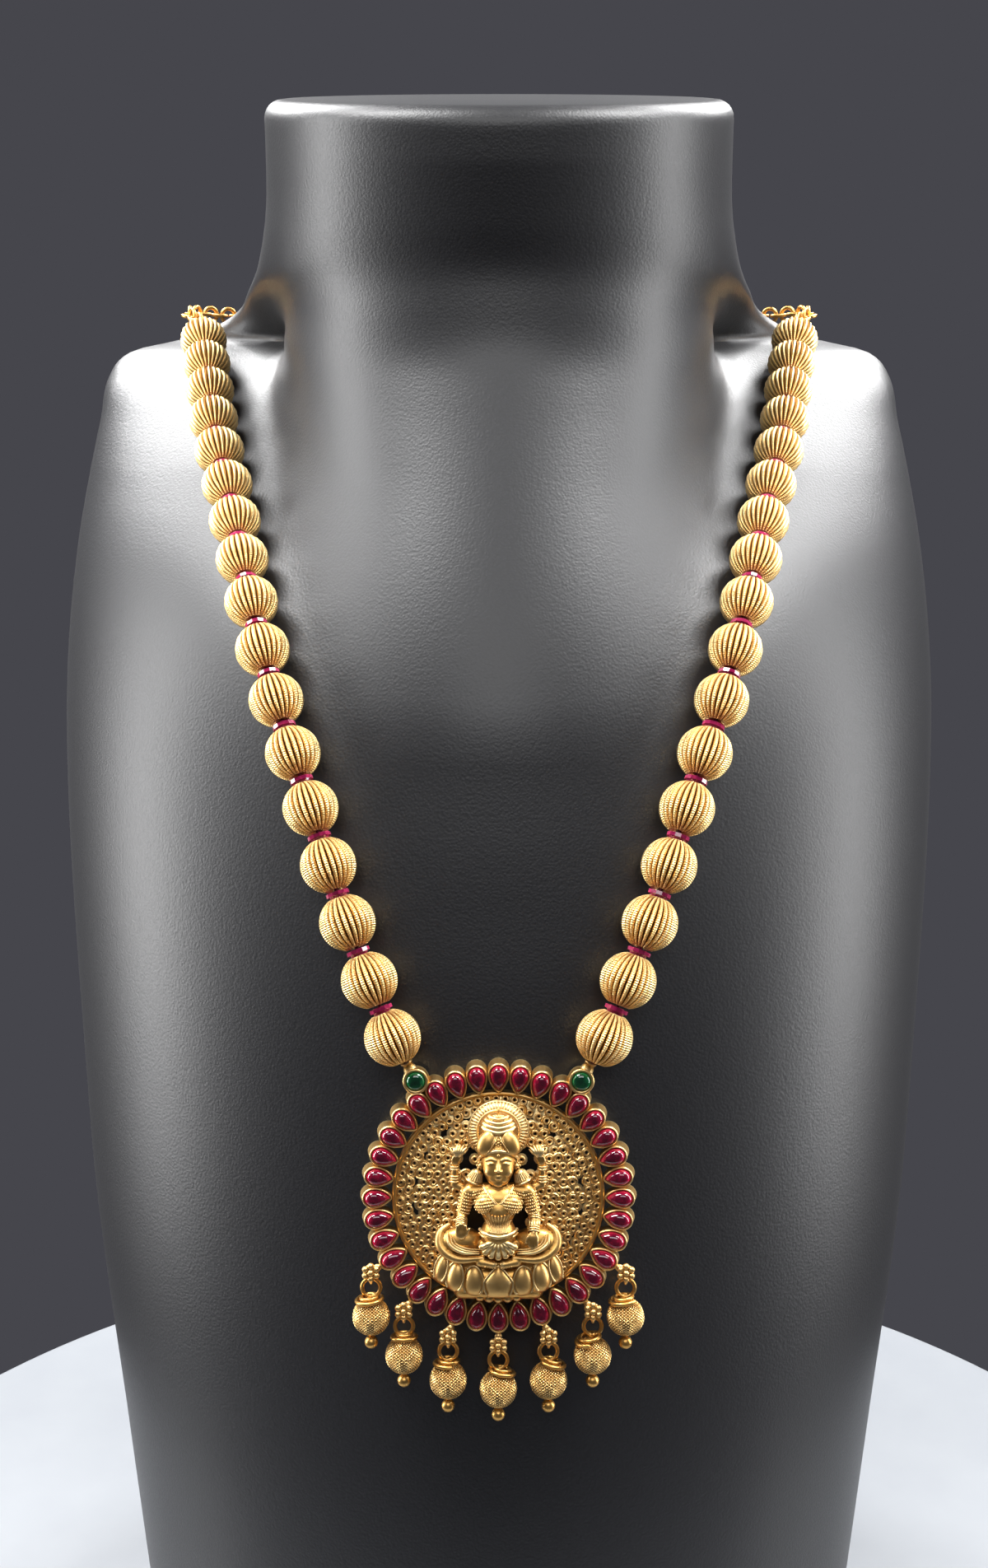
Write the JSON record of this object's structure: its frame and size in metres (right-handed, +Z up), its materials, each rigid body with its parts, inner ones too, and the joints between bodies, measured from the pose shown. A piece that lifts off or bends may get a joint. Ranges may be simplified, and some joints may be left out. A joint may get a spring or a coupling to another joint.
{
  "type": "temple jewellery necklace on a neck bust",
  "caption": "Gold bead necklace with ruby rondelles, a round goddess pendant rimmed in rubies with ball drops, and a chain clasp, worn on a black display neck bust.",
  "frame": {"origin": "on the underside of the bust, below the middle of the front of its neck, at floor height", "axes": "+Z up, -Y towards the front of the chest, +X to the viewer's right"},
  "size_m": [0.2022, 0.1882, 0.3611],
  "materials": {
    "bust_leatherette": "black fine-grained leatherette with a semi-gloss face",
    "antique_gold": "antique matte gold plating, dark in the grooves",
    "chain_gold": "bright gold-plated wire",
    "ruby": "polished ruby-pink glass stones",
    "emerald": "polished deep green glass stones",
    "thread": "twisted dark red cotton thread"
  },
  "bodies": {
    "root": {"neck_bust": "bust_leatherette", "pendant": "antique_gold", "rubies": "ruby", "emeralds": "emerald", "bead_left_01": "antique_gold", "bead_left_02": "antique_gold", "bead_left_03": "antique_gold", "bead_left_04": "antique_gold", "bead_left_05": "antique_gold", "bead_left_06": "antique_gold", "bead_left_07": "antique_gold", "bead_left_08": "antique_gold", "bead_left_09": "antique_gold", "bead_left_10": "antique_gold", "bead_left_11": "antique_gold", "bead_left_12": "antique_gold", "bead_left_13": "antique_gold", "bead_left_14": "antique_gold", "bead_left_15": "antique_gold", "bead_left_16": "antique_gold", "bead_left_17": "antique_gold", "bead_right_01": "antique_gold", "bead_right_02": "antique_gold", "bead_right_03": "antique_gold", "bead_right_04": "antique_gold", "bead_right_05": "antique_gold", "bead_right_06": "antique_gold", "bead_right_07": "antique_gold", "bead_right_08": "antique_gold", "bead_right_09": "antique_gold", "bead_right_10": "antique_gold", "bead_right_11": "antique_gold", "bead_right_12": "antique_gold", "bead_right_13": "antique_gold", "bead_right_14": "antique_gold", "bead_right_15": "antique_gold", "bead_right_16": "antique_gold", "bead_right_17": "antique_gold", "rondelles_left": "ruby", "rondelles_right": "ruby", "thread_left": "thread", "thread_right": "thread", "drop_pin_1": "antique_gold", "drop_pin_2": "antique_gold", "drop_pin_3": "antique_gold", "drop_pin_4": "antique_gold", "drop_pin_5": "antique_gold", "drop_pin_6": "antique_gold", "drop_pin_7": "antique_gold", "drop_ball_1": "antique_gold", "drop_ball_2": "antique_gold", "drop_ball_3": "antique_gold", "drop_ball_4": "antique_gold", "drop_ball_5": "antique_gold", "drop_ball_6": "antique_gold", "drop_ball_7": "antique_gold", "chain_left": "chain_gold", "chain_right": "chain_gold", "clasp": "chain_gold"}
  },
  "joints": []
}
